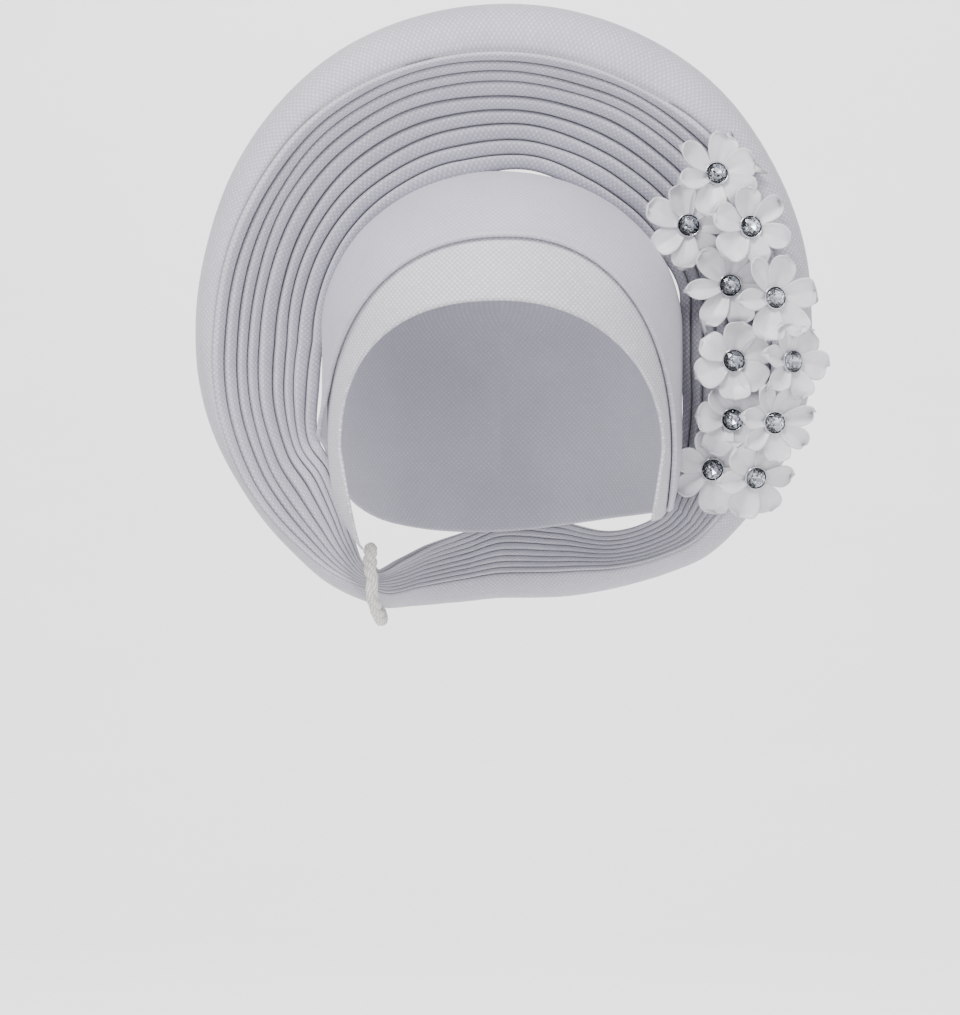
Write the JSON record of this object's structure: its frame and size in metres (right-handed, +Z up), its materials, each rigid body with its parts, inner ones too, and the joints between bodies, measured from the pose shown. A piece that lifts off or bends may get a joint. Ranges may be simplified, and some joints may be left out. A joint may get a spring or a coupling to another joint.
{
  "type": "tied head wrap",
  "caption": "Ready-tied gele head wrap: smooth crown cap, forehead band, wide pleated fan round the head and a spray of satin flowers with clear stones.",
  "frame": {"origin": "the head seat: the inner top of the crown cap, where the wrap rests on a head", "axes": "+Z up, the wearer faces -Y, +X is the wearer's left, where the flowers are"},
  "size_m": [0.2788, 0.1908, 0.2796],
  "materials": {
    "shimmer_cloth": "woven cloth with a silver shimmer, white to light grey",
    "band_cloth": "the same woven cloth, laid smooth under the cap's hem",
    "tie_cord": "off-white twisted cord",
    "satin_ribbon": "white satin ribbon",
    "setting_metal": "bright silver-coloured metal",
    "clear_stone": "clear faceted glass"
  },
  "bodies": {
    "root": {"crown_cap": "shimmer_cloth", "forehead_band": "band_cloth", "pleated_fan": "shimmer_cloth", "nape_tie": "tie_cord", "flower_01": "satin_ribbon", "setting_01": "setting_metal", "stone_01": "clear_stone", "flower_02": "satin_ribbon", "setting_02": "setting_metal", "stone_02": "clear_stone", "flower_03": "satin_ribbon", "setting_03": "setting_metal", "stone_03": "clear_stone", "flower_04": "satin_ribbon", "setting_04": "setting_metal", "stone_04": "clear_stone", "flower_05": "satin_ribbon", "setting_05": "setting_metal", "stone_05": "clear_stone", "flower_06": "satin_ribbon", "setting_06": "setting_metal", "stone_06": "clear_stone", "flower_07": "satin_ribbon", "setting_07": "setting_metal", "stone_07": "clear_stone", "flower_08": "satin_ribbon", "setting_08": "setting_metal", "stone_08": "clear_stone", "flower_09": "satin_ribbon", "setting_09": "setting_metal", "stone_09": "clear_stone", "flower_10": "satin_ribbon", "setting_10": "setting_metal", "stone_10": "clear_stone", "flower_11": "satin_ribbon", "setting_11": "setting_metal", "stone_11": "clear_stone"}
  },
  "joints": []
}
